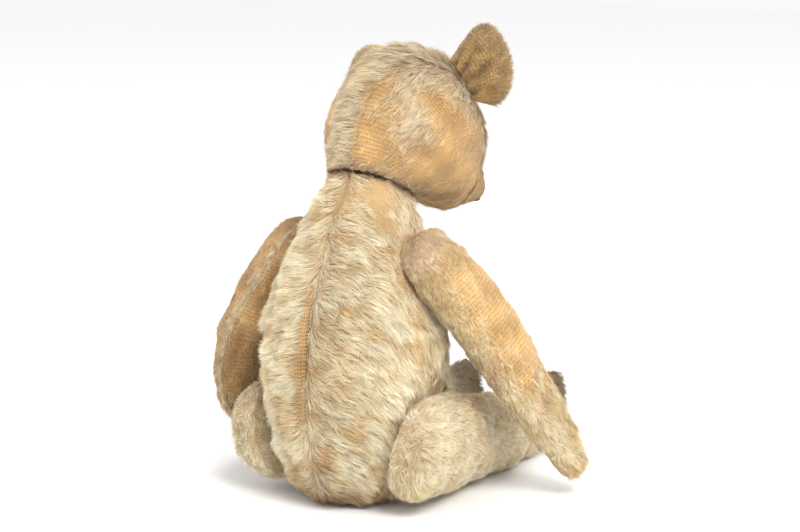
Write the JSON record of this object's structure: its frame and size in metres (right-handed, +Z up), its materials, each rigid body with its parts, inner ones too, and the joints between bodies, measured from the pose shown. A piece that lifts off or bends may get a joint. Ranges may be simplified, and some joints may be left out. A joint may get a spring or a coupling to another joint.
{
  "type": "jointed teddy bear",
  "caption": "Antique style mohair teddy bear, seated, with a turning head and arms and legs that swing on disc joints.",
  "frame": {"origin": "on the resting plane under the middle of the torso's flat seat", "axes": "+Z up, -Y the way the bear faces, +X towards the bear's left side"},
  "size_m": [0.2406, 0.2486, 0.2999],
  "materials": {
    "pale_gold_mohair": "worn short mohair pile, combed and matted",
    "bald_gold_mohair": "mohair cloth worn bald to its golden woven backing",
    "worn_brown_mohair": "worn brown-gold mohair with the weave showing",
    "ear_mohair": "short olive-brown pile, gathered at the base",
    "felt": "worn peach-brown felt",
    "tan_thread": "twisted tan thread",
    "black_thread": "worn black embroidery thread",
    "boot_button": "black glossy boot button",
    "wood_wool": "packed straw-coloured wood wool",
    "joint_card": "brown pressed card",
    "washer_steel": "plain steel",
    "split_pin_steel": "dull steel"
  },
  "bodies": {
    "torso": {"torso_left_panel": "pale_gold_mohair", "torso_right_panel": "pale_gold_mohair", "torso_stuffing": "wood_wool", "back_stitches": "tan_thread", "neck_body_disc": "joint_card", "arm_left_body_disc": "joint_card", "arm_right_body_disc": "joint_card", "leg_left_body_disc": "joint_card", "leg_right_body_disc": "joint_card", "body_washers": "washer_steel"},
    "head": {"head_left_panel": "pale_gold_mohair", "head_right_panel": "pale_gold_mohair", "head_gusset": "pale_gold_mohair", "head_stuffing": "wood_wool", "ear_left_front": "ear_mohair", "ear_left_back": "ear_mohair", "ear_right_front": "ear_mohair", "ear_right_back": "ear_mohair", "eye_left": "boot_button", "eye_right": "boot_button", "nose_stitching": "black_thread", "mouth_stitching": "black_thread", "neck_head_disc": "joint_card", "neck_head_washer": "washer_steel", "neck_pin": "split_pin_steel"},
    "arm_left": {"arm_left_outer": "worn_brown_mohair", "arm_left_inner": "worn_brown_mohair", "arm_left_pad": "felt", "arm_left_stuffing": "wood_wool", "arm_left_disc": "joint_card", "arm_left_washer": "washer_steel", "arm_left_pin": "split_pin_steel"},
    "arm_right": {"arm_right_outer": "bald_gold_mohair", "arm_right_inner": "pale_gold_mohair", "arm_right_pad": "felt", "arm_right_stuffing": "wood_wool", "arm_right_disc": "joint_card", "arm_right_washer": "washer_steel", "arm_right_pin": "split_pin_steel"},
    "leg_left": {"leg_left_outer": "pale_gold_mohair", "leg_left_inner": "pale_gold_mohair", "leg_left_sole": "felt", "leg_left_stuffing": "wood_wool", "leg_left_disc": "joint_card", "leg_left_washer": "washer_steel", "leg_left_pin": "split_pin_steel"},
    "leg_right": {"leg_right_outer": "pale_gold_mohair", "leg_right_inner": "pale_gold_mohair", "leg_right_sole": "felt", "leg_right_stuffing": "wood_wool", "leg_right_disc": "joint_card", "leg_right_washer": "washer_steel", "leg_right_pin": "split_pin_steel"}
  },
  "joints": [
    {"name": "neck_turn", "type": "hinge", "parent": "torso", "child": "head", "pos_m": [0, -0.021, 0.199], "axis": [0, -0.454, 0.891], "range_deg": [-67, 93]},
    {"name": "shoulder_left", "type": "hinge", "parent": "torso", "child": "arm_left", "pos_m": [0.0415, -0.012, 0.155], "axis": [-0.9397, 0, -0.342], "range_deg": [-30, 95]},
    {"name": "shoulder_right", "type": "hinge", "parent": "torso", "child": "arm_right", "pos_m": [-0.0415, -0.012, 0.155], "axis": [-0.9397, 0, 0.342], "range_deg": [-60, 68]},
    {"name": "hip_left", "type": "hinge", "parent": "torso", "child": "leg_left", "pos_m": [0.045, -0.006, 0.04], "axis": [-0.9633, 0.1699, 0.2079], "range_deg": [-100, 10]},
    {"name": "hip_right", "type": "hinge", "parent": "torso", "child": "leg_right", "pos_m": [-0.045, -0.006, 0.04], "axis": [-0.9633, -0.1699, -0.2079], "range_deg": [-100, 10]}
  ]
}
